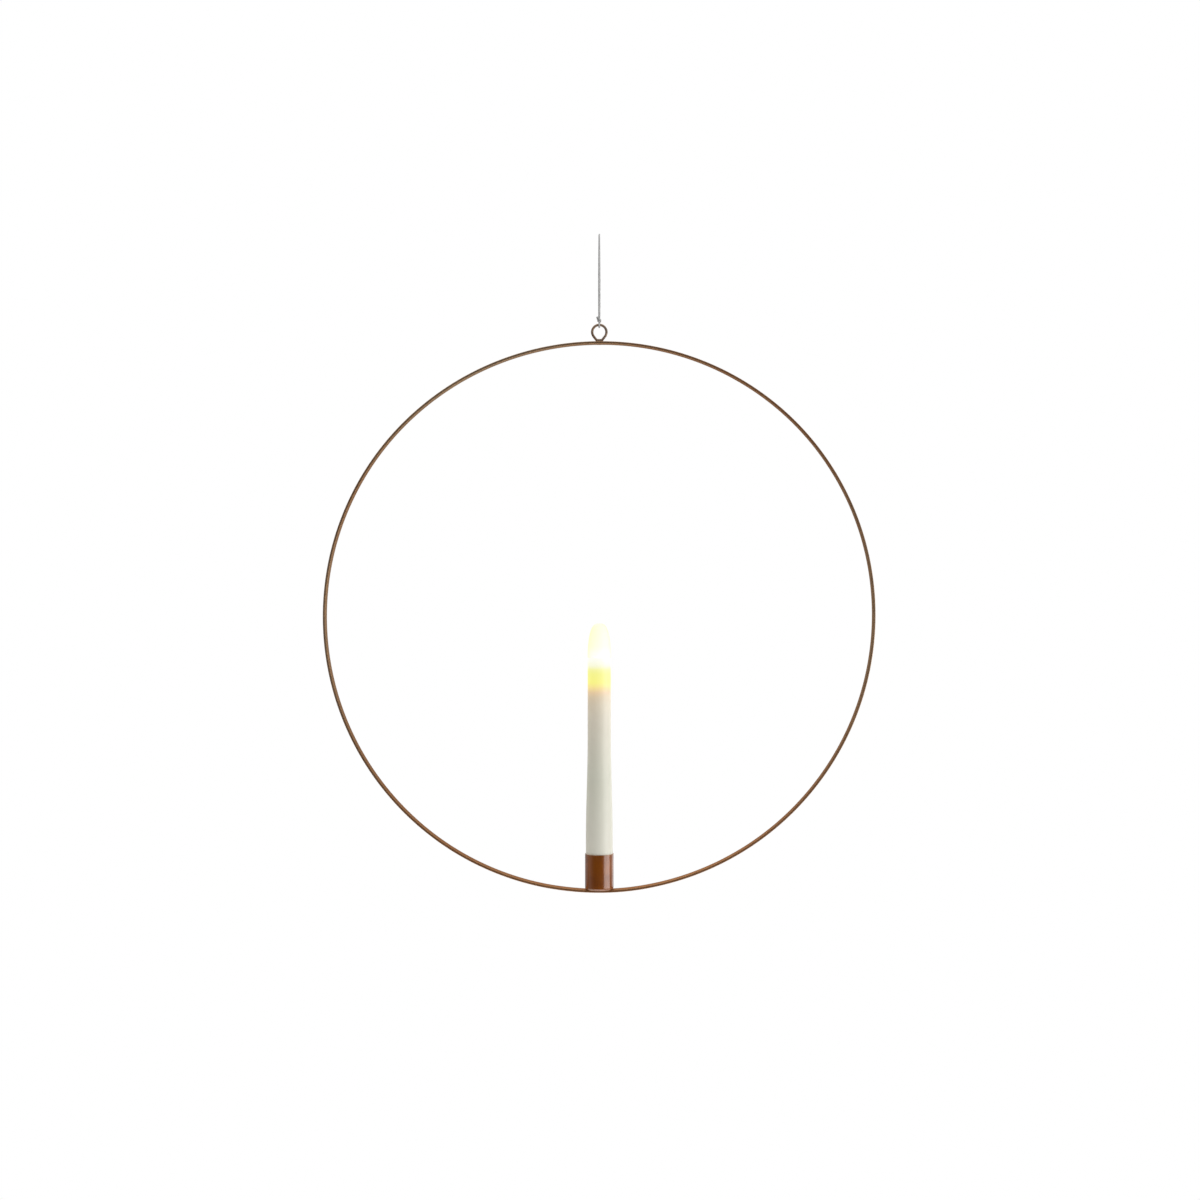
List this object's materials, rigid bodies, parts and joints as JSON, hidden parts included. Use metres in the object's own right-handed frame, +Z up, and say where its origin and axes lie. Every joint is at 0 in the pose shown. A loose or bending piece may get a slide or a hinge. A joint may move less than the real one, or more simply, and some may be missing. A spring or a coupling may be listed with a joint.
{
  "type": "hanging candle ring",
  "caption": "Hanging hoop of flat bronze-toned metal strip with a wire eye and cord at its top and a small cup at its foot that holds a glowing battery taper candle.",
  "frame": {"origin": "the point where the cord's loop lies on its hook, straight above the hoop's centre", "axes": "+Z up along the cord and the candle, +X to the right seen from the front, +Y towards the back, so the hoop stands in the XZ plane"},
  "size_m": [0.45, 0.0232, 0.5372],
  "materials": {
    "cord": "fine twisted cotton cord, light grey",
    "hoop_metal": "antique bronze plating on flat iron strip, satin",
    "eye_metal": "antique bronze plating on iron wire, satin",
    "cup_metal": "antique bronze plating on a drawn cup, semi-gloss",
    "shell_plastic": "ivory, satin, slightly translucent",
    "glowing_tip": "frosted, lit from inside, warm white",
    "lamp_lens": "clear, lit",
    "tinned_lead": "tinned",
    "inner_plastic": "moulded, white",
    "cap_plastic": "moulded, ivory",
    "board": "green solder mask",
    "dark_plastic": "moulded, dark grey",
    "red_insulation": "smooth",
    "black_insulation": "smooth",
    "nickel_sheet": "nickel-plated",
    "cell_case": "plain film label on a steel can"
  },
  "bodies": {
    "hanger": {"hanging_loop": "cord"},
    "knot": {"cord_knot": "cord"},
    "wrap": {"eye_wrap": "cord"},
    "ring": {"hoop": "hoop_metal", "hanging_eye": "eye_metal", "candle_cup": "cup_metal"},
    "candle": {"candle_shell": "shell_plastic", "light_tip": "glowing_tip", "led_lamp": "lamp_lens", "led_lead_plus": "tinned_lead", "led_lead_minus": "tinned_lead", "led_frame": "inner_plastic", "circuit_board": "board", "timer_chip": "dark_plastic", "wire_plus": "red_insulation", "wire_minus": "black_insulation", "battery_sleeve": "inner_plastic", "contact_strip": "nickel_sheet", "top_contact": "nickel_sheet", "battery_lower": "cell_case", "battery_upper": "cell_case"},
    "cap": {"base_cap": "cap_plastic", "spring_plate": "nickel_sheet", "base_spring": "nickel_sheet", "cap_contact": "nickel_sheet", "switch_body": "dark_plastic"},
    "switch": {"switch_knob": "dark_plastic"}
  },
  "joints": [
    {"name": "cord_twist", "type": "hinge", "parent": "hanger", "child": "knot", "pos_m": [0, 0, -0.07], "axis": [0, 0, 1], "range_deg": [-180, 180]},
    {"name": "knot_sway", "type": "hinge", "parent": "knot", "child": "wrap", "pos_m": [0, 0, -0.07], "axis": [0, 1, 0], "range_deg": [-20, 20]},
    {"name": "hoop_swing", "type": "hinge", "parent": "wrap", "child": "ring", "pos_m": [0, 0, -0.073], "axis": [1, 0, 0], "range_deg": [-90, 90]},
    {"name": "candle_lift", "type": "slide", "parent": "ring", "child": "candle", "axis": [0, 0, 1], "range_m": [0, 0.032]},
    {"name": "cap_turn", "type": "hinge", "parent": "candle", "child": "cap", "pos_m": [0, 0, -0.53269], "axis": [0, 0, -1], "range_deg": [0, 25]},
    {"name": "switch_slide", "type": "slide", "parent": "cap", "child": "switch", "axis": [1, 0, 0], "range_m": [0, 0.002]}
  ]
}
